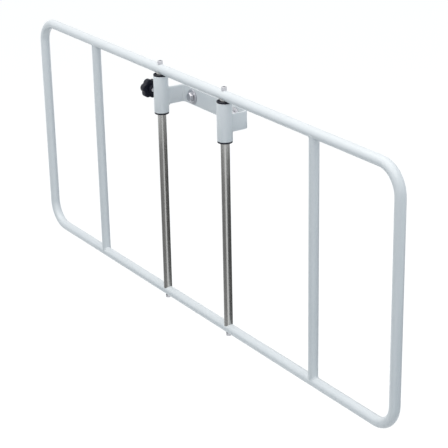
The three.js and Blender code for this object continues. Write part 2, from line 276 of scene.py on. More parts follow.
def rail_lines():
    """Centre lines of the frame tube, its radius and the plane that it lies in."""
    low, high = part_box("frame_tube")
    radius = (high.y - low.y) / 2
    return SimpleNamespace(
        radius=radius,
        plane_y=(low.y + high.y) / 2,
        left=low.x + radius,
        right=high.x - radius,
        bottom=low.z + radius,
        top=high.z - radius,
        middle_x=(low.x + high.x) / 2,
    )


# Modelling steps that several pieces share.
def each_once(items):
    """The given items without repeats, in the same order in every run, as a set's order isn't."""
    return list(dict.fromkeys(items))


def edges_between(verts):
    """Edges that join the given vertices."""
    chosen = set(verts)
    return each_once(edge for vert in verts for edge in vert.link_edges if set(edge.verts) <= chosen)


def ring(shape, radius, segments, place):
    """A circle about the Z axis of a matrix, as a loop of edges."""
    verts = bmesh.ops.create_circle(shape, radius=radius, segments=segments, matrix=place)["verts"]
    return edges_between(verts)


def open_edges(geometry):
    """The edges of an operator's result that carry only one face."""
    return [item for item in geometry if isinstance(item, bmesh.types.BMEdge) and item.is_boundary]


def verts_of(geometry):
    """The vertices of an operator's result."""
    return [item for item in geometry if isinstance(item, bmesh.types.BMVert)]


def pull_loop(shape, loop, offset):
    """Extrudes a loop of edges along an offset and gives back the new loop."""
    made = bmesh.ops.extrude_edge_only(shape, edges=loop)["geom"]
    bmesh.ops.translate(shape, vec=offset, verts=verts_of(made))
    return open_edges(made)


def bend_loop(shape, loop, centre, axis, steps):
    """Turns a loop of edges a quarter round an axis and gives back the last loop."""
    verts = each_once(vert for edge in loop for vert in edge.verts)
    made = bmesh.ops.spin(
        shape, geom=verts + loop, cent=centre, axis=axis, angle=QUARTER, steps=steps)["geom_last"]
    return open_edges(made)


def close_loop(shape, loop, point):
    """Closes a loop of edges with a fan of faces to one point."""
    made = bmesh.ops.extrude_edge_only(shape, edges=loop)["geom"]
    bmesh.ops.pointmerge(shape, verts=verts_of(made), merge_co=point)


def weld_and_face_out(shape):
    """Joins vertices that lie on each other and turns every face outwards."""
    bmesh.ops.remove_doubles(shape, verts=shape.verts, dist=MERGE_DISTANCE)
    bmesh.ops.recalc_face_normals(shape, faces=shape.faces)


def turned(profile, segments, closed=False):
    """A shape spun about Z from points of radius and height."""
    shape = bmesh.new()
    verts = [shape.verts.new((radius, 0, z)) for radius, z in profile]
    followers = verts[1:] + verts[:1] if closed else verts[1:]
    edges = [shape.edges.new(pair) for pair in zip(verts, followers)]
    bmesh.ops.spin(
        shape, geom=verts + edges, cent=ORIGIN, axis=UP, angle=FULL_TURN, steps=segments, use_merge=True)
    weld_and_face_out(shape)
    return shape


def round_edges(shape, edges, radius, steps):
    """Rounds the given edges of a shape."""
    bmesh.ops.bevel(
        shape, geom=edges, offset=radius, segments=steps, profile=0.5, affect="EDGES",
        clamp_overlap=True, material=-1)


def soften(shape, radius, steps):
    """Rounds the sharp edges of a shape."""
    sharp = [edge for edge in shape.edges if edge.is_manifold and edge.calc_face_angle() > SHARP_ANGLE]
    round_edges(shape, sharp, radius, steps)


def corner_radius(flats):
    """Distance from a hexagon's middle to its corners."""
    return flats / math.sqrt(3)


def hexagon_radius(direction, flats):
    """Distance from a hexagon's middle to its outline, with a corner at direction 0."""
    sixth = FULL_TURN / 6
    return flats / 2 / math.cos(direction % sixth - sixth / 2)


def make_hexagonal(verts, flats):
    """Moves vertices that ring the Z axis out or in to a hexagon."""
    for vert in verts:
        direction = math.atan2(vert.co.y, vert.co.x)
        reach = hexagon_radius(direction, flats)
        vert.co.x = reach * math.cos(direction)
        vert.co.y = reach * math.sin(direction)


def at_radius(shape, radius, low, high):
    """Vertices at one distance from the Z axis, between two heights."""
    return [
        vert for vert in shape.verts
        if abs(vert.co.xy.length - radius) < RADIUS_TOLERANCE and low <= vert.co.z <= high]


def object_from(name, shape):
    """An object in the scene that takes over a shape's mesh."""
    mesh = bpy.data.meshes.new(name)
    shape.to_mesh(mesh)
    shape.free()
    made = bpy.data.objects.new(name, mesh)
    bpy.context.scene.collection.objects.link(made)
    return made


def combined(shape, tool, operation):
    """One shape joined with another or cut by it."""
    body = object_from("working", shape)
    other = object_from("working", tool)
    modifier = body.modifiers.new("combine", "BOOLEAN")
    modifier.operation = operation
    modifier.solver = "EXACT"
    modifier.object = other
    evaluated = body.evaluated_get(bpy.context.evaluated_depsgraph_get())
    result = bmesh.new()
    result.from_mesh(evaluated.to_mesh())
    evaluated.to_mesh_clear()
    for working in (body, other):
        mesh = working.data
        bpy.data.objects.remove(working)
        bpy.data.meshes.remove(mesh)
    if not result.faces:
        raise RuntimeError(f"the {operation.lower()} step left no faces")
    return result


def stand_at(place, turn=0, axis="X"):
    """A matrix that turns about an axis and then moves to a place."""
    return Matrix.Translation(place) @ Matrix.Rotation(turn, 4, axis)


def placed(shape, matrix):
    """Moves a whole shape by a matrix."""
    bmesh.ops.transform(shape, matrix=matrix, verts=shape.verts)
    return shape


def absorb(shape, other):
    """Adds another shape's mesh to a shape."""
    mesh = bpy.data.meshes.new("working")
    other.to_mesh(mesh)
    other.free()
    shape.from_mesh(mesh)
    bpy.data.meshes.remove(mesh)
    return shape


def finish_piece(name, shape, material, body, nodes=()):
    """Makes a shape the finished piece that stands for its nodes and rides on a body."""
    bmesh.ops.recalc_face_normals(shape, faces=shape.faces)
    piece = object_from(name, shape)
    piece.data.shade_smooth()
    piece.data.set_sharp_from_angle(angle=SHARP_ANGLE)
    piece.data.materials.append(material)
    if nodes:
        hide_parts(*nodes)
    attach(piece, body)
    return piece


# Rail.
def frame_tube_shape(rail):
    """The tube bent into a rounded rectangle, welded shut under its middle."""
    lines = rail_lines()
    bend = rail.bend_radius
    shape = bmesh.new()
    seam = stand_at((lines.middle_x, lines.plane_y, lines.bottom), QUARTER, "Y")
    loop = ring(shape, lines.radius, rail.tube_sides, seam)
    corners = [
        (lines.right - bend, lines.bottom + bend),
        (lines.right - bend, lines.top - bend),
        (lines.left + bend, lines.top - bend),
        (lines.left + bend, lines.bottom + bend),
    ]
    half_run = lines.right - bend - lines.middle_x
    upright_run = lines.top - lines.bottom - 2 * bend
    runs = [half_run, upright_run, 2 * half_run, upright_run]
    heading = Vector((1, 0, 0))
    quarter_turn = Matrix.Rotation(-QUARTER, 3, "Y")
    for run, (corner_x, corner_z) in zip(runs, corners):
        loop = pull_loop(shape, loop, heading * run)
        loop = bend_loop(shape, loop, (corner_x, lines.plane_y, corner_z), (0, -1, 0), rail.bend_steps)
        heading = quarter_turn @ heading
    pull_loop(shape, loop, heading * half_run)
    weld_and_face_out(shape)
    return shape


def tube_surface(lines, offset_y, end):
    """Height where a tube's surface that faces the frame's inside lies, at a distance from its axis."""
    rise = math.sqrt(max(lines.radius ** 2 - offset_y ** 2, 0))
    return lines.top - rise if end > 0 else lines.bottom + rise


def upright_shape(node, rail, bite):
    """A bar or rod between the tubes, its ends coped to fit them."""
    lines = rail_lines()
    middle = centre_of(node)
    radius = extent_of(node).x / 2
    shape = bmesh.new()
    foot = stand_at((middle.x, middle.y, lines.bottom))
    first = ring(shape, radius, rail.tube_sides, foot)
    last = pull_loop(shape, first, (0, 0, lines.top - lines.bottom))
    for loop, end in ((first, -1), (last, 1)):
        for vert in each_once(vert for edge in loop for vert in edge.verts):
            vert.co.z = tube_surface(lines, vert.co.y - lines.plane_y, end) + end * bite
        close_loop(shape, loop, (middle.x, middle.y, tube_surface(lines, 0, end) + end * bite))
    return shape


def screw_shape(node, fastener, head_top, shank_length):
    """A socket cap screw: z = 0 is the crest of the tube that it sits on, and the shank points down."""
    head = extent_of(node).y / 2
    edge = fastener.screw_edge
    edge_steps = 4
    socket = corner_radius(fastener.socket_flats)
    socket_floor = head_top - fastener.socket_depth
    profile = [(0, -shank_length), (fastener.screw_radius, -shank_length)]
    profile += [(fastener.screw_radius, 0), (head, 0)]
    for step in range(edge_steps + 1):
        turn = QUARTER * step / edge_steps
        profile.append((head - edge * (1 - math.cos(turn)), head_top - edge * (1 - math.sin(turn))))
    profile += [(socket, head_top), (socket, socket_floor), (0, socket_floor - fastener.small_edge)]
    shape = turned(profile, SCREW_SEGMENTS)
    mouth = at_radius(shape, socket, socket_floor - MERGE_DISTANCE, head_top + MERGE_DISTANCE)
    make_hexagonal(mouth, fastener.socket_flats)
    return shape


# Weld beads.
def bead(stations):
    """A closed bead through stations, each a point, an outward direction and the bead's radius there."""
    shape = bmesh.new()
    total = len(stations)
    loops = []
    for index, (point, outward, radius) in enumerate(stations):
        along = (stations[(index + 1) % total][0] - stations[index - 1][0]).normalized()
        across = along.cross(outward).normalized()
        out = across.cross(along)
        turn = Matrix((out, across, along)).transposed().to_4x4()
        loops.append(ring(shape, radius, BEAD_SEGMENTS, Matrix.Translation(point) @ turn))
    for loop, follower in zip(loops, loops[1:] + loops[:1]):
        bmesh.ops.bridge_loops(shape, edges=loop + follower)
    return shape


def ripples(path_length, weld):
    """Shares of the way along a bead, each with the bead's size there against a plain one."""
    stations_per_ripple = 5
    total = max(1, round(path_length / weld.ripple_pitch)) * stations_per_ripple
    for station in range(total):
        phase = station % stations_per_ripple / stations_per_ripple
        yield station / total, 1 + weld.ripple_depth * (math.sin(math.pi * phase) - 0.5)


def bar_bead(node, end, weld):
    """The bead round the end of a bar, against the top or the bottom tube."""
    lines = rail_lines()
    middle = centre_of(node)
    radius = extent_of(node).x / 2
    stations = []
    for travel, wave in ripples(FULL_TURN * radius, weld):
        direction = FULL_TURN * travel
        outward = Vector((math.cos(direction), math.sin(direction), 0))
        offset_y = radius * outward.y
        z = tube_surface(lines, offset_y, end)
        point = Vector((middle.x + radius * outward.x, middle.y + offset_y, z))
        slimmed = 1 - weld.side_slimness * outward.y ** 2
        stations.append((point, outward, weld.bar_bead * wave * slimmed))
    return bead(stations)


def seam_bead(weld):
    """The ground bead round the frame tube where its two ends meet."""
    lines = rail_lines()
    centre = Vector((lines.middle_x, lines.plane_y, lines.bottom))
    sunk_share = 0.7
    path_radius = lines.radius - weld.seam_bead * sunk_share
    stations = []
    for travel, wave in ripples(FULL_TURN * lines.radius, weld):
        direction = FULL_TURN * travel
        outward = Vector((0, math.cos(direction), math.sin(direction)))
        stations.append((centre + outward * path_radius, outward, weld.seam_bead * wave))
    return bead(stations)


def leg_outline(half_width, half_height, corner, distance):
    """Point at a distance along a rounded rectangle, from the middle of its +Z side."""
    straight_x = half_width - corner
    straight_z = half_height - corner
    arc = QUARTER * corner
    # The way begins and ends with half of the +Z side.
    last_turn = 4
    for turn in range(last_turn + 1):
        heading = -QUARTER * turn
        half_side = straight_x if turn % 2 == 0 else straight_z
        run = half_side if turn in (0, last_turn) else 2 * half_side
        out = Vector((math.sin(-heading), math.cos(heading)))
        side = Vector((out.y, -out.x))
        start = 0 if turn == 0 else -half_side
        reach = half_height if turn % 2 == 0 else half_width
        if distance <= run:
            return out * reach + side * (start + distance)
        distance -= run
        if distance <= arc:
            swing = distance / corner
            centre = out * (reach - corner) + side * half_side
            return centre + corner * (out * math.cos(swing) + side * math.sin(swing))
        distance -= arc
    return Vector((0, half_height))


def strap_bead(label, weld, bracket):
    """The bead that joins a leg of the strap to its sleeve, all round the leg."""
    sleeve_middle = centre_of(f"sleeve_{label}")
    sleeve_radius = extent_of(f"sleeve_{label}").x / 2
    low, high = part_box("strap")
    half_width = bracket.strap_thickness / 2
    half_height = (high.z - low.z) / 2
    leg_x = low.x + half_width if label == "left" else high.x - half_width
    corner_share = 0.8
    corner = half_width * corner_share
    path_length = 4 * (half_width + half_height - 2 * corner) + FULL_TURN * corner
    outward = Vector((0, 1, 0))
    stations = []
    for travel, wave in ripples(path_length, weld):
        spot = leg_outline(half_width, half_height, corner, path_length * travel)
        x = leg_x + spot.x
        y = sleeve_middle.y + math.sqrt(sleeve_radius ** 2 - (x - sleeve_middle.x) ** 2)
        point = Vector((x, y, (low.z + high.z) / 2 + spot.y))
        stations.append((point, outward, weld.strap_bead * wave))
    return bead(stations)


# Bracket.
def bush_sizes(bracket):
    """Bore and spigot radius of a bush, from the rod that runs in it."""
    bore = extent_of("guide_rod_left").x / 2 + bracket.bush_clearance
    return bore, bore + bracket.bush_wall


def bush_shape(node, bracket, upside_down):
    """A flanged bush, its flange up or down."""
    bore, spigot = bush_sizes(bracket)
    low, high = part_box(node)
    middle = centre_of(node)
    flange = (high.x - low.x) / 2
    spigot_length = high.z - low.z - bracket.bush_flange
    shape = turned([
        (bore, -spigot_length),
        (spigot, -spigot_length),
        (spigot, 0),
        (flange, 0),
        (flange, bracket.bush_flange),
        (bore, bracket.bush_flange),
    ], BUSH_SEGMENTS, closed=True)
    soften(shape, bracket.bush_edge, steps=4)
    if upside_down:
        seat = low.z + bracket.bush_flange
        return placed(shape, stand_at((middle.x, middle.y, seat), math.pi, "X"))
    seat = high.z - bracket.bush_flange
    return placed(shape, stand_at((middle.x, middle.y, seat)))


def hole_cutter(radius, flare, depth):
    """A drill with a flared mouth: z = 0 is the face that it enters, and it points down."""
    return turned([
        (0, -depth),
        (radius, -depth),
        (radius, -flare),
        (radius + 2 * flare, flare),
        (0, flare),
    ], HOLE_SEGMENTS)


def through_cutter(radius, flare, thickness):
    """A drill right through a plate, flared at both faces: z = 0 is the face that it enters."""
    return turned([
        (0, -thickness - flare),
        (radius + 2 * flare, -thickness - flare),
        (radius, flare - thickness),
        (radius, -flare),
        (radius + 2 * flare, flare),
        (0, flare),
    ], HOLE_SEGMENTS)


def sleeve_shape(node, bracket, fastener):
    """A sleeve with rounded ends; the left one has the stud's hole in its side."""
    spigot = bush_sizes(bracket)[1]
    middle = centre_of(node)
    extent = extent_of(node)
    outer = extent.x / 2
    end = extent.z / 2
    bore = spigot + bracket.seat_gap
    wall = [(bore, -end), (outer, -end), (outer, end), (bore, end)]
    shape = turned(wall, SLEEVE_SEGMENTS, closed=True)
    soften(shape, bracket.sleeve_edge, steps=4)
    placed(shape, stand_at(middle))
    if node != "sleeve_left":
        return shape
    stud = centre_of("lock_stud")
    cutter = hole_cutter(fastener.bolt_radius + bracket.seat_gap, bracket.hole_flare, outer)
    entry = stand_at((middle.x - outer, stud.y, stud.z), -QUARTER, "Y")
    return combined(shape, placed(cutter, entry), "DIFFERENCE")


def strap_shape(bracket, fastener, rail):
    """The flat steel bent into a U, with its two bolt holes."""
    low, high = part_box("strap")
    sleeve = centre_of("sleeve_left")
    sleeve_radius = extent_of("sleeve_left").x / 2
    thickness = bracket.strap_thickness
    outer_bend = bracket.strap_bend + thickness
    leg_x = low.x + thickness / 2
    bend_x = low.x + outer_bend
    bend_y = high.y - outer_bend
    widest_offset = abs(low.x + thickness - sleeve.x)
    leg_end = sleeve.y + math.sqrt(sleeve_radius ** 2 - widest_offset ** 2) - rail.weld_bite
    middle_z = (low.z + high.z) / 2
    bend_steps = 12
    shape = bmesh.new()
    section = stand_at((leg_x, leg_end, middle_z), QUARTER, "X")
    scaled = section @ Matrix.Diagonal((thickness, high.z - low.z, 1, 1))
    # A grid of size 0.5 is a square with sides of 1, which the matrix scales to the section.
    bmesh.ops.create_grid(shape, x_segments=1, y_segments=1, size=0.5, matrix=scaled)
    loop = list(shape.edges)
    loop = pull_loop(shape, loop, (0, bend_y - leg_end, 0))
    loop = bend_loop(shape, loop, (bend_x, bend_y, middle_z), (0, 0, -1), bend_steps)
    loop = pull_loop(shape, loop, (-2 * bend_x, 0, 0))
    loop = bend_loop(shape, loop, (-bend_x, bend_y, middle_z), (0, 0, -1), bend_steps)
    loop = pull_loop(shape, loop, (0, leg_end - bend_y, 0))
    bmesh.ops.edgeloop_fill(shape, edges=loop)
    weld_and_face_out(shape)
    soften(shape, bracket.strap_edge, steps=4)
    hole = fastener.bolt_radius + bracket.seat_gap
    for label in SIDES:
        bolt = centre_of(f"bed_bolt_{label}")
        cutter = through_cutter(hole, bracket.hole_flare, thickness)
        entry = stand_at((bolt.x, high.y, bolt.z), -QUARTER, "X")
        shape = combined(shape, placed(cutter, entry), "DIFFERENCE")
    return shape


# Fasteners.
def thread_shape(radius, low, high, fastener):
    """A threaded shank about Z between two heights, with flat ends and a chamfered lower tip."""
    pitch = fastener.thread_pitch
    root = radius - fastener.thread_depth
    steps_per_turn = 32
    spare_turns = 2
    turns = math.ceil((high - low) / pitch) + spare_turns
    start = low - pitch
    root_share, flank_share = 0.25, 0.3125
    profile = [
        (root, 0),
        (root, root_share),
        (radius, root_share + flank_share),
        (radius, 1 - flank_share),
        (root, 1),
    ]
    shape = bmesh.new()
    verts = [shape.verts.new((reach, 0, start + pitch * rise)) for reach, rise in profile]
    edges = [shape.edges.new(pair) for pair in zip(verts, verts[1:])]
    bmesh.ops.spin(
        shape, geom=verts + edges, cent=ORIGIN, axis=UP, angle=FULL_TURN * turns,
        dvec=(0, 0, pitch / steps_per_turn), steps=steps_per_turn * turns)
    bmesh.ops.remove_doubles(shape, verts=shape.verts, dist=MERGE_DISTANCE)
    for height, facing in ((low, -1), (high, 1)):
        everything = list(shape.verts) + list(shape.edges) + list(shape.faces)
        cut = bmesh.ops.bisect_plane(
            shape, geom=everything, plane_co=(0, 0, height), plane_no=(0, 0, facing), clear_outer=True)
        rim = [item for item in cut["geom_cut"] if isinstance(item, bmesh.types.BMEdge)]
        close_loop(shape, rim, (0, 0, height))
    for vert in shape.verts:
        limit = radius - fastener.thread_lead + (vert.co.z - low)
        reach = vert.co.xy.length
        if reach > limit:
            vert.co.xy *= limit / reach
    weld_and_face_out(shape)
    return shape


def bolt_shape(node, fastener):
    """A hexagon bolt: z = 0 is the seat of its head, and the shank points down."""
    extent = extent_of(node)
    flats = extent.x
    height = fastener.bolt_head
    corner = corner_radius(flats)
    crown_share, dish_share = 0.94, 0.8
    crown = flats / 2 * crown_share
    dish = crown * dish_share
    profile = [(0, 0), (corner, 0), (corner, height), (crown, height), (dish, height)]
    profile.append((0, height - fastener.small_edge))
    shape = turned(profile, BOLT_SEGMENTS)
    outline = at_radius(shape, corner, -MERGE_DISTANCE, height + MERGE_DISTANCE)
    make_hexagonal(outline, flats)
    slope = math.tan(fastener.head_chamfer)
    for vert in outline:
        if vert.co.z > height / 2:
            vert.co.z = height - (vert.co.xy.length - crown) * slope
    soften(shape, fastener.small_edge, steps=2)
    shank_length = extent.y - height
    absorb(shape, thread_shape(fastener.bolt_radius, -shank_length, fastener.small_edge, fastener))
    return placed(shape, Matrix.Rotation(QUARTER, 4, "Z"))


def washer_shape(node, fastener, bracket):
    """A wide washer whose middle lies on z = 0."""
    extent = extent_of(node)
    half = extent.y / 2
    outer = extent.x / 2
    hole = fastener.bolt_radius + bracket.seat_gap
    wall = [(hole, -half), (outer, -half), (outer, half), (hole, half)]
    shape = turned(wall, WASHER_SEGMENTS, closed=True)
    soften(shape, fastener.washer_edge, steps=3)
    return shape


# Knob.
def star_point(travel, knob):
    """Point of the star's outline at a share of its way round."""
    half_pitch = math.pi / knob.lobes
    lobe_centre = knob.radius - knob.lobe_radius
    reach = knob.lobe_radius + knob.scallop_radius
    sideways = lobe_centre * math.sin(half_pitch)
    scallop_centre = lobe_centre * math.cos(half_pitch) + math.sqrt(reach ** 2 - sideways ** 2)
    turn_in = math.asin(sideways / reach)
    lobe_sweep = half_pitch + turn_in
    lobe_share = 0.75
    lobe, part = divmod(travel * knob.lobes, 1)
    lobe_direction = 2 * half_pitch * lobe
    if part < lobe_share:
        swing = lobe_direction + lobe_sweep * (2 * part / lobe_share - 1)
        centre_direction, centre_reach, arc_radius = lobe_direction, lobe_centre, knob.lobe_radius
    else:
        scallop_direction = lobe_direction + half_pitch
        swing_share = (part - lobe_share) / (1 - lobe_share)
        swing = scallop_direction + math.pi + turn_in * (1 - 2 * swing_share)
        centre_direction, centre_reach, arc_radius = scallop_direction, scallop_centre, knob.scallop_radius
    centre = Vector((math.cos(centre_direction), math.sin(centre_direction))) * centre_reach
    return centre + Vector((math.cos(swing), math.sin(swing))) * arc_radius


def star_shape(knob, top):
    """The knob's lobed body, from the end of its bare hub up to a height, with rounded rims."""
    points_per_lobe = 32
    shape = bmesh.new()
    star = bmesh.ops.create_circle(
        shape, cap_ends=True, radius=knob.radius, segments=knob.lobes * points_per_lobe)["verts"]
    for index, vert in enumerate(star):
        vert.co.xy = star_point(index / len(star), knob)
        vert.co.z = knob.hub_length
    made = bmesh.ops.extrude_face_region(shape, geom=list(shape.faces))["geom"]
    bmesh.ops.translate(shape, vec=(0, 0, top - knob.hub_length), verts=verts_of(made))
    bmesh.ops.recalc_face_normals(shape, faces=shape.faces)
    rims = [
        edge for edge in shape.edges
        if abs(edge.verts[0].co.z - edge.verts[1].co.z) < MERGE_DISTANCE and edge.is_manifold]
    round_edges(shape, rims, knob.edge_radius, steps=5)
    return shape


def dome_shape(knob, rim_height):
    """The low dome on the lobes, with a foot that reaches down into them."""
    radius = knob.radius - knob.dome_inset
    foot = knob.hub_length + knob.edge_radius
    dome_steps = 14
    profile = [(0, foot), (radius, foot)]
    for step in range(dome_steps + 1):
        inward = 1 - step / dome_steps
        profile.append((radius * inward, rim_height + knob.dome_height * (1 - inward ** 2)))
    return turned(profile, DOME_SEGMENTS)


def knob_shape(knob, fastener, bracket):
    """The star knob: z = 0 is the hub's face towards the sleeve, and the lobes are further out."""
    extent = extent_of("knob")
    lobes_end = extent.x - knob.dome_height
    shape = combined(star_shape(knob, lobes_end), dome_shape(knob, lobes_end), "UNION")
    hub_top = lobes_end - knob.edge_radius
    side = [(0, 0), (knob.hub_radius, 0), (knob.hub_radius, hub_top), (0, hub_top)]
    hub = turned(side, HUB_SEGMENTS)
    soften(hub, knob.hub_edge, steps=3)
    shape = combined(shape, hub, "UNION")
    bore_depth = extent.x / 2
    bore = hole_cutter(fastener.bolt_radius + bracket.seat_gap, bracket.hole_flare, bore_depth)
    shape = combined(shape, placed(bore, Matrix.Rotation(math.pi, 4, "X")), "DIFFERENCE")
    return placed(shape, Matrix.Rotation(knob.turn, 4, "Z"))


# Finishes.
def add_node(tree, kind, inputs=None, **values):
    """A shader node with its values, its inputs set or linked."""
    made = tree.nodes.new(kind)
    for name, value in values.items():
        setattr(made, name, value)
    for name, source in (inputs or {}).items():
        if isinstance(source, bpy.types.NodeSocket):
            tree.links.new(source, made.inputs[name])
        else:
            made.inputs[name].default_value = source
    return made


def new_group(name, inputs, output):
    """An empty node group with number inputs, given with their defaults, and one number output."""
    group = bpy.data.node_groups.new(name, "ShaderNodeTree")
    for label, default in inputs.items():
        socket = group.interface.new_socket(name=label, in_out="INPUT", socket_type="NodeSocketFloat")
        socket.default_value = default
    group.interface.new_socket(name=output, in_out="OUTPUT", socket_type="NodeSocketFloat")
    start = add_node(group, "NodeGroupInput")
    end = add_node(group, "NodeGroupOutput")
    return group, start, end


def object_noise(tree, scale, detail):
    """Noise over a piece's own coordinates."""
    place = add_node(tree, "ShaderNodeTexCoord").outputs["Object"]
    return add_node(tree, "ShaderNodeTexNoise", {
        "Vector": place, "Scale": scale, "Detail": detail}).outputs["Fac"]


def calculated(tree, operation, first, second, **values):
    """A Math node's result on two numbers."""
    made = add_node(tree, "ShaderNodeMath", operation=operation, **values)
    tree.links.new(first, made.inputs[0])
    tree.links.new(second, made.inputs[1])
    return made.outputs["Value"]


def in_patches(group, start, mask, detail):
    """A mask broken up by noise and scaled by the group's amount."""
    patches = object_noise(group, start.outputs["Scale"], detail)
    patchy = calculated(group, "MULTIPLY", mask, patches)
    return calculated(group, "MULTIPLY", patchy, start.outputs["Amount"], use_clamp=True)


def grain_group():
    """Even grain, such as the orange peel of powder coat or the texture of a mould."""
    group, start, end = new_group("Grain", {"Scale": 400.0, "Detail": 2.0}, "Height")
    grain = object_noise(group, start.outputs["Scale"], start.outputs["Detail"])
    group.links.new(grain, end.inputs["Height"])
    return group


def streak_group():
    """Streaks along Z, left by grinding."""
    group, start, end = new_group("Streaks", {"Across": 900.0, "Along": 6.0}, "Streak")
    place = add_node(group, "ShaderNodeTexCoord").outputs["Object"]
    stretch = add_node(group, "ShaderNodeCombineXYZ", {
        "X": start.outputs["Across"], "Y": start.outputs["Across"], "Z": start.outputs["Along"]})
    stretched = add_node(group, "ShaderNodeVectorMath", operation="MULTIPLY")
    group.links.new(place, stretched.inputs[0])
    group.links.new(stretch.outputs["Vector"], stretched.inputs[1])
    noise = add_node(group, "ShaderNodeTexNoise", {
        "Vector": stretched.outputs["Vector"], "Scale": 1.0, "Detail": 4.0, "Roughness": 0.6})
    spread = add_node(group, "ShaderNodeMapRange", {
        "Value": noise.outputs["Fac"], "From Min": 0.32, "From Max": 0.68})
    group.links.new(spread.outputs["Result"], end.inputs["Streak"])
    return group


def wear_group():
    """Patchy wear on the outer edges."""
    group, start, end = new_group("Edge wear", {"Amount": 0.5, "Scale": 300.0}, "Wear")
    pointed = add_node(group, "ShaderNodeNewGeometry").outputs["Pointiness"]
    edges = add_node(group, "ShaderNodeMapRange", {"Value": pointed, "From Min": 0.53, "From Max": 0.62})
    wear = in_patches(group, start, edges.outputs["Result"], detail=3.0)
    group.links.new(wear, end.inputs["Wear"])
    return group


def dust_group():
    """A thin veil of dust on what faces up."""
    group, start, end = new_group("Dust", {"Amount": 0.3, "Scale": 90.0}, "Dust")
    normal = add_node(group, "ShaderNodeNewGeometry").outputs["Normal"]
    height = add_node(group, "ShaderNodeSeparateXYZ", {"Vector": normal}).outputs["Z"]
    facing_up = add_node(group, "ShaderNodeMapRange", {"Value": height, "From Min": 0.4, "From Max": 1.0})
    dust = in_patches(group, start, facing_up.outputs["Result"], detail=5.0)
    group.links.new(dust, end.inputs["Dust"])
    return group


GROUP_MAKERS = {"Grain": grain_group, "Streaks": streak_group, "Edge wear": wear_group, "Dust": dust_group}


def effect(tree, name, **values):
    """One of the shared effects, placed in a material with its own values."""
    group = bpy.data.node_groups.get(name) or GROUP_MAKERS[name]()
    inputs = {label.replace("_", " ").capitalize(): value for label, value in values.items()}
    return add_node(tree, "ShaderNodeGroup", inputs, node_tree=group).outputs[0]


def blend_colours(tree, factor, first, second):
    """A colour between two others; each is a value or a socket."""
    mix = add_node(tree, "ShaderNodeMix", data_type="RGBA")
    tree.links.new(factor, mix.inputs["Factor"])
    # Names repeat on this node, so its colour sockets go by number.
    first_input, second_input, result = mix.inputs[6], mix.inputs[7], mix.outputs[2]
    for socket, source in ((first_input, first), (second_input, second)):
        if isinstance(source, bpy.types.NodeSocket):
            tree.links.new(source, socket)
        else:
            socket.default_value = (*source, 1)
    return result


def ranged(tree, factor, low, high):
    """A number that runs between two limits with a factor."""
    return add_node(tree, "ShaderNodeMapRange", {
        "Value": factor, "To Min": low, "To Max": high}).outputs["Result"]


def start_material(name, slot, **shader_values):
    """A material with one Principled BSDF, its slot kept as a property."""
    material = bpy.data.materials.new(name)
    material["slot"] = slot
    material.use_nodes = True
    shader = material.node_tree.nodes["Principled BSDF"]
    for socket, value in shader_values.items():
        shader.inputs[socket.replace("_", " ")].default_value = value
    return material, material.node_tree


def give_surface(tree, base, roughness, relief, strength, depth):
    """Links a finish's colour, its roughness and the bump of its relief to the shader."""
    shader = tree.nodes["Principled BSDF"]
    bump = add_node(tree, "ShaderNodeBump", {"Height": relief, "Strength": strength, "Distance": depth})
    tree.links.new(base, shader.inputs["Base Color"])
    tree.links.new(roughness, shader.inputs["Roughness"])
    tree.links.new(bump.outputs["Normal"], shader.inputs["Normal"])


def white_paint(finish):
    """Glossy white powder coat with orange peel, rubbed thin along edges."""
    material, tree = start_material(PAINT, "white_paint", Coat_Weight=0.25, Coat_Roughness=0.12)
    patches = effect(tree, "Grain", scale=28.0, detail=3.0)
    peel = effect(tree, "Grain", scale=520.0, detail=1.5)
    wear = effect(tree, "Edge wear", amount=0.5, scale=260.0)
    dust = effect(tree, "Dust", amount=0.22, scale=120.0)
    shaded = tuple(finish.paint_shade * part for part in finish.paint)
    paint = blend_colours(tree, patches, finish.paint, shaded)
    worn = blend_colours(tree, wear, paint, finish.paint_worn)
    dusty = blend_colours(tree, dust, worn, finish.paint_dust)
    roughness = ranged(tree, patches, low=0.24, high=0.38)
    give_surface(tree, dusty, roughness, peel, strength=0.12, depth=0.0003)
    return material


def bright_steel(finish):
    """Ground steel with fine streaks along the rod."""
    material, tree = start_material(STEEL, "bright_steel", Metallic=1.0)
    broad = effect(tree, "Streaks", across=420.0, along=3.0)
    fine = effect(tree, "Streaks", across=2600.0, along=14.0)
    smears = effect(tree, "Grain", scale=45.0, detail=4.0)
    streaked = blend_colours(tree, broad, finish.steel_dark, finish.steel)
    scratches = ranged(tree, fine, low=0, high=0.35)
    scratched = blend_colours(tree, scratches, streaked, finish.steel_pale)
    roughness = ranged(tree, smears, low=0.16, high=0.3)
    give_surface(tree, scratched, roughness, fine, strength=0.2, depth=0.00005)
    return material


def zinc_plate(finish):
    """Bright zinc plate, mottled by its crystals."""
    material, tree = start_material(ZINC, "zinc_plate", Metallic=1.0)
    crystals = effect(tree, "Grain", scale=700.0, detail=4.0)
    stains = effect(tree, "Grain", scale=160.0, detail=3.0)
    wear = effect(tree, "Edge wear", amount=0.9, scale=500.0)
    mottled = blend_colours(tree, crystals, finish.zinc_dull, finish.zinc)
    stained = blend_colours(tree, ranged(tree, stains, low=0, high=0.25), mottled, finish.zinc_stain)
    polished = blend_colours(tree, wear, stained, finish.zinc_polished)
    roughness = ranged(tree, crystals, low=0.24, high=0.46)
    give_surface(tree, polished, roughness, crystals, strength=0.15, depth=0.00005)
    return material


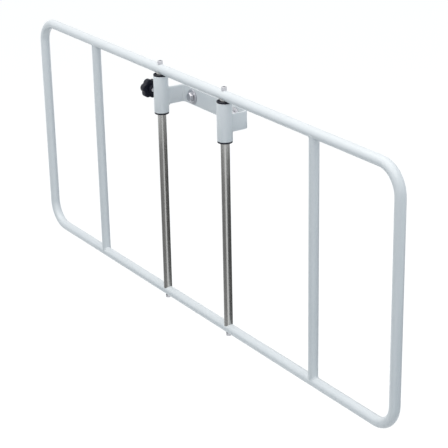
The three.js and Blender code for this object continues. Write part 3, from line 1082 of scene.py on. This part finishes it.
def black_plastic(finish):
    """Satin moulded plastic with a fine texture, rubbed along edges."""
    material, tree = start_material(PLASTIC, "black_plastic", Specular_IOR_Level=0.26)
    texture = effect(tree, "Grain", scale=2200.0, detail=2.0)
    patches = effect(tree, "Grain", scale=180.0, detail=3.0)
    wear = effect(tree, "Edge wear", amount=1.2, scale=420.0)
    dust = effect(tree, "Dust", amount=0.1, scale=300.0)
    rubbed = blend_colours(tree, wear, finish.plastic, finish.plastic_rubbed)
    dusty = blend_colours(tree, dust, rubbed, finish.plastic_dust)
    roughness = ranged(tree, patches, low=0.34, high=0.52)
    give_surface(tree, dusty, roughness, texture, strength=0.35, depth=0.00008)
    return material


FINISH_MAKERS = {PAINT: white_paint, STEEL: bright_steel, ZINC: zinc_plate, PLASTIC: black_plastic}


def finish_named(name):
    """A finish by its name, made when it is first asked for."""
    made = bpy.data.materials.get(name)
    return made or FINISH_MAKERS[name](bpy.context.scene.guard_rail.finish)


# Operators, one for each piece or group of like pieces.
class GUARDRAIL_OT_frame_tube(bpy.types.Operator):
    """Makes the bent frame tube and its seam"""
    bl_idname = "guard_rail.frame_tube"
    bl_label = "Frame tube"

    def execute(self, context):
        settings = context.scene.guard_rail
        paint = finish_named(PAINT)
        finish_piece("rail_frame_tube", frame_tube_shape(settings.rail), paint, "rail", ["frame_tube"])
        finish_piece("rail_frame_seam", seam_bead(settings.weld), paint, "rail")
        return {"FINISHED"}


class GUARDRAIL_OT_bars(bpy.types.Operator):
    """Makes the painted bars and the weld beads at their ends"""
    bl_idname = "guard_rail.bars"
    bl_label = "Bars"

    def execute(self, context):
        settings = context.scene.guard_rail
        paint = finish_named(PAINT)
        for label in SIDES:
            node = f"bar_{label}"
            shape = upright_shape(node, settings.rail, settings.rail.weld_bite)
            finish_piece(f"rail_{node}", shape, paint, "rail", [node])
            for end, place in ((1, "top"), (-1, "bottom")):
                finish_piece(f"weld_{node}_{place}", bar_bead(node, end, settings.weld), paint, "rail")
        return {"FINISHED"}


class GUARDRAIL_OT_guide_rods(bpy.types.Operator):
    """Makes the bright guide rods"""
    bl_idname = "guard_rail.guide_rods"
    bl_label = "Guide rods"

    def execute(self, context):
        settings = context.scene.guard_rail
        steel = finish_named(STEEL)
        for label in SIDES:
            node = f"guide_rod_{label}"
            finish_piece(f"rail_{node}", upright_shape(node, settings.rail, 0), steel, "rail", [node])
        return {"FINISHED"}


class GUARDRAIL_OT_rod_screws(bpy.types.Operator):
    """Makes the socket cap screws that hold the rods"""
    bl_idname = "guard_rail.rod_screws"
    bl_label = "Rod screws"

    def execute(self, context):
        fastener = context.scene.guard_rail.fastener
        zinc = finish_named(ZINC)
        lines = rail_lines()
        for label in SIDES:
            for place, crest, tilt in (
                ("top", lines.top + lines.radius, 0),
                ("bottom", lines.bottom - lines.radius, math.pi),
            ):
                node = f"{place}_screw_{label}"
                low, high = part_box(node)
                above, below = high.z - crest, crest - low.z
                head_top, shank = (above, below) if place == "top" else (below, above)
                middle = centre_of(node)
                seat = stand_at((middle.x, middle.y, crest), tilt, "X")
                shape = placed(screw_shape(node, fastener, head_top, shank), seat)
                finish_piece(f"rail_{node}", shape, zinc, "rail", [node])
        return {"FINISHED"}


class GUARDRAIL_OT_sleeves(bpy.types.Operator):
    """Makes the sleeves that ride on the rods"""
    bl_idname = "guard_rail.sleeves"
    bl_label = "Sleeves"

    def execute(self, context):
        settings = context.scene.guard_rail
        paint = finish_named(PAINT)
        for label in SIDES:
            node = f"sleeve_{label}"
            shape = sleeve_shape(node, settings.bracket, settings.fastener)
            finish_piece(f"bracket_{node}", shape, paint, "bracket", [node])
        return {"FINISHED"}


class GUARDRAIL_OT_bushes(bpy.types.Operator):
    """Makes the flanged bushes in the sleeves' ends"""
    bl_idname = "guard_rail.bushes"
    bl_label = "Bushes"

    def execute(self, context):
        bracket = context.scene.guard_rail.bracket
        plastic = finish_named(PLASTIC)
        for label in SIDES:
            for place in ("upper", "lower"):
                node = f"{place}_bush_{label}"
                shape = bush_shape(node, bracket, place == "lower")
                finish_piece(f"bracket_{node}", shape, plastic, "bracket", [node])
        return {"FINISHED"}


class GUARDRAIL_OT_strap(bpy.types.Operator):
    """Makes the bent strap and the weld beads on its legs"""
    bl_idname = "guard_rail.strap"
    bl_label = "Strap"

    def execute(self, context):
        settings = context.scene.guard_rail
        paint = finish_named(PAINT)
        shape = strap_shape(settings.bracket, settings.fastener, settings.rail)
        finish_piece("bracket_strap", shape, paint, "bracket", ["strap"])
        for label in SIDES:
            shape = strap_bead(label, settings.weld, settings.bracket)
            finish_piece(f"weld_strap_{label}", shape, paint, "bracket")
        return {"FINISHED"}


class GUARDRAIL_OT_bed_bolts(bpy.types.Operator):
    """Makes the bolts and washers that fasten the strap to the bed"""
    bl_idname = "guard_rail.bed_bolts"
    bl_label = "Bed bolts"

    def execute(self, context):
        settings = context.scene.guard_rail
        zinc = finish_named(ZINC)
        for label in SIDES:
            node = f"bed_bolt_{label}"
            middle = centre_of(node)
            seat_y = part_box(node)[0].y + settings.fastener.bolt_head
            seat = stand_at((middle.x, seat_y, middle.z), QUARTER, "X")
            shape = placed(bolt_shape(node, settings.fastener), seat)
            finish_piece(f"bracket_{node}", shape, zinc, "bracket", [node])
            node = f"washer_{label}"
            shape = washer_shape(node, settings.fastener, settings.bracket)
            placed(shape, stand_at(centre_of(node), QUARTER, "X"))
            finish_piece(f"bracket_{node}", shape, zinc, "bracket", [node])
        return {"FINISHED"}


class GUARDRAIL_OT_lock_stud(bpy.types.Operator):
    """Makes the threaded stud that clamps the left rod"""
    bl_idname = "guard_rail.lock_stud"
    bl_label = "Lock stud"

    def execute(self, context):
        fastener = context.scene.guard_rail.fastener
        low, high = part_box("lock_stud")
        middle = centre_of("lock_stud")
        shape = thread_shape(fastener.bolt_radius, 0, high.x - low.x, fastener)
        placed(shape, stand_at((high.x, middle.y, middle.z), -QUARTER, "Y"))
        finish_piece("clamp_stud", shape, finish_named(ZINC), "lock_stud", ["lock_stud"])
        return {"FINISHED"}


class GUARDRAIL_OT_knob(bpy.types.Operator):
    """Makes the star knob"""
    bl_idname = "guard_rail.knob"
    bl_label = "Knob"

    def execute(self, context):
        settings = context.scene.guard_rail
        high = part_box("knob")[1]
        axis = centre_of("lock_stud")
        shape = knob_shape(settings.knob, settings.fastener, settings.bracket)
        placed(shape, stand_at((high.x, axis.y, axis.z), -QUARTER, "Y"))
        finish_piece("clamp_knob", shape, finish_named(PLASTIC), "knob", ["knob"])
        return {"FINISHED"}


# Stage.
def ray_seen(tree):
    """1 for camera, glossy and transmission rays, and 0 for the light that falls on the rail."""
    path = add_node(tree, "ShaderNodeLightPath")
    seen = path.outputs["Is Camera Ray"]
    for label in ("Is Glossy Ray", "Is Transmission Ray"):
        seen = calculated(tree, "MAXIMUM", seen, path.outputs[label])
    return seen


def stage_material(name):
    """A plain dull material for something on the stage."""
    material = bpy.data.materials.new(name)
    material.use_nodes = True
    tree = material.node_tree
    shader = tree.nodes["Principled BSDF"]
    shader.inputs["Roughness"].default_value = 0.9
    shader.inputs["Specular IOR Level"].default_value = 0
    return material, tree, shader


def stage_piece(name, shape, material):
    """Makes a shape a piece of the stage."""
    piece = object_from(name, shape)
    piece.data.materials.append(material)
    return piece


def make_floor(stage):
    """A white floor that keeps the rail's shadow."""
    material, tree, shader = stage_material("Floor")
    seen = ray_seen(tree)
    base = blend_colours(tree, seen, stage.floor_bounce, stage.floor_seen)
    glow = ranged(tree, seen, low=0, high=stage.floor_glow)
    tree.links.new(base, shader.inputs["Base Color"])
    tree.links.new(glow, shader.inputs["Emission Strength"])
    shader.inputs["Emission Color"].default_value = (1, 1, 1, 1)
    shape = bmesh.new()
    place = stand_at((0, 0, cad_low.z - stage.floor_drop))
    bmesh.ops.create_grid(shape, x_segments=1, y_segments=1, size=stage.floor_size / 2, matrix=place)
    stage_piece("floor", shape, material)


def make_screen(name, stage, tone, start, end):
    """A curved screen, seen only in reflections, between two directions counted from the camera's."""
    material, _, shader = stage_material(name)
    shader.inputs["Base Color"].default_value = (0, 0, 0, 1)
    shader.inputs["Emission Color"].default_value = (tone, tone, tone, 1)
    shader.inputs["Emission Strength"].default_value = 1
    middle = centre_of("strap")
    heading = stage.camera_yaw - QUARTER + start
    edge = middle + stage.screen_radius * Vector((math.cos(heading), math.sin(heading), 0))
    screen_steps = 32
    shape = bmesh.new()
    foot = shape.verts.new((edge.x, edge.y, cad_low.z - stage.floor_drop))
    top = shape.verts.new((edge.x, edge.y, middle.z - stage.screen_drop))
    line = shape.edges.new((foot, top))
    bmesh.ops.spin(
        shape, geom=[foot, top, line], cent=middle, axis=UP, angle=end - start, steps=screen_steps)
    screen = stage_piece(name, shape, material)
    screen.visible_camera = False
    screen.visible_diffuse = False
    screen.visible_shadow = False
    screen.visible_transmission = False


def make_world(stage):
    """A surround that is white to the camera and in reflections, and lights the rail a little cool."""
    world = bpy.data.worlds.new("Room")
    world.use_nodes = True
    tree = world.node_tree
    colour_seen = blend_colours(tree, ray_seen(tree), stage.ambient, (1, 1, 1))
    tree.links.new(colour_seen, tree.nodes["Background"].inputs["Color"])
    bpy.context.scene.world = world


def make_lamp(name, watts, size, place, target):
    """A square soft lamp that points at a target."""
    data = bpy.data.lights.new(name, "AREA")
    data.energy = watts
    data.size = size
    lamp = bpy.data.objects.new(name, data)
    lamp.location = place
    lamp.rotation_euler = (Vector(target) - Vector(place)).to_track_quat("-Z", "Y").to_euler()
    bpy.context.scene.collection.objects.link(lamp)
    return lamp


def make_camera(stage):
    """The camera at the photograph's place and angle."""
    data = bpy.data.cameras.new("camera")
    data.lens = stage.focal_length
    camera = bpy.data.objects.new("camera", data)
    yaw = Matrix.Rotation(stage.camera_yaw, 4, "Z")
    pitch = Matrix.Rotation(QUARTER - stage.camera_pitch, 4, "X")
    roll = Matrix.Rotation(stage.camera_roll, 4, "Z")
    camera.matrix_world = Matrix.Translation(stage.camera_place) @ (yaw @ pitch @ roll)
    bpy.context.scene.collection.objects.link(camera)
    bpy.context.scene.camera = camera


class GUARDRAIL_OT_stage(bpy.types.Operator):
    """Makes the floor, surround, screens, lamps and camera"""
    bl_idname = "guard_rail.stage"
    bl_label = "Stage"

    def execute(self, context):
        stage = context.scene.guard_rail.stage
        middle = (cad_low + cad_high) / 2
        make_floor(stage)
        make_world(stage)
        make_screen("screen_left", stage, stage.left_tone, stage.left_start, stage.left_end)
        make_screen("screen_right", stage, stage.right_tone, stage.right_start, stage.right_end)
        key = make_lamp("overhead", stage.key_power, stage.key_size, middle + stage.key_place, middle)
        key.data.color = stage.key_colour
        fill = make_lamp("fill", stage.fill_power, stage.fill_size, middle + stage.fill_place, middle)
        fill.visible_glossy = False
        make_camera(stage)
        context.scene.view_settings.view_transform = "Standard"
        return {"FINISHED"}


OPERATORS = (
    GUARDRAIL_OT_frame_tube,
    GUARDRAIL_OT_bars,
    GUARDRAIL_OT_guide_rods,
    GUARDRAIL_OT_rod_screws,
    GUARDRAIL_OT_sleeves,
    GUARDRAIL_OT_bushes,
    GUARDRAIL_OT_strap,
    GUARDRAIL_OT_bed_bolts,
    GUARDRAIL_OT_lock_stud,
    GUARDRAIL_OT_knob,
    GUARDRAIL_OT_stage,
)


class GUARDRAIL_PT_panel(bpy.types.Panel):
    """Lists the guard rail's pieces and sizes"""
    bl_idname = "GUARDRAIL_PT_panel"
    bl_label = "Guard rail"
    bl_space_type = "VIEW_3D"
    bl_region_type = "UI"
    bl_category = "Guard rail"

    def draw(self, context):
        settings = context.scene.guard_rail
        for operator in OPERATORS:
            self.layout.operator(operator.bl_idname)
        for group in (settings.rail, settings.weld, settings.bracket, settings.fastener,
                      settings.knob, settings.finish, settings.stage):
            box = self.layout.box()
            for label in group.__annotations__:
                box.prop(group, label)


CLASSES = (
    RailShape,
    WeldShape,
    BracketShape,
    FastenerShape,
    KnobShape,
    Finishes,
    StageShape,
    GuardRailSettings,
    *OPERATORS,
    GUARDRAIL_PT_panel,
)


def register():
    for made in CLASSES:
        bpy.utils.register_class(made)
    bpy.types.Scene.guard_rail = bpy.props.PointerProperty(type=GuardRailSettings)


def unregister():
    del bpy.types.Scene.guard_rail
    for made in reversed(CLASSES):
        bpy.utils.unregister_class(made)


def main():
    register()
    bpy.ops.guard_rail.frame_tube()
    bpy.ops.guard_rail.bars()
    bpy.ops.guard_rail.guide_rods()
    bpy.ops.guard_rail.rod_screws()
    bpy.ops.guard_rail.sleeves()
    bpy.ops.guard_rail.bushes()
    bpy.ops.guard_rail.strap()
    bpy.ops.guard_rail.bed_bolts()
    bpy.ops.guard_rail.lock_stud()
    bpy.ops.guard_rail.knob()
    bpy.ops.guard_rail.stage()


if __name__ == "__main__":
    main()
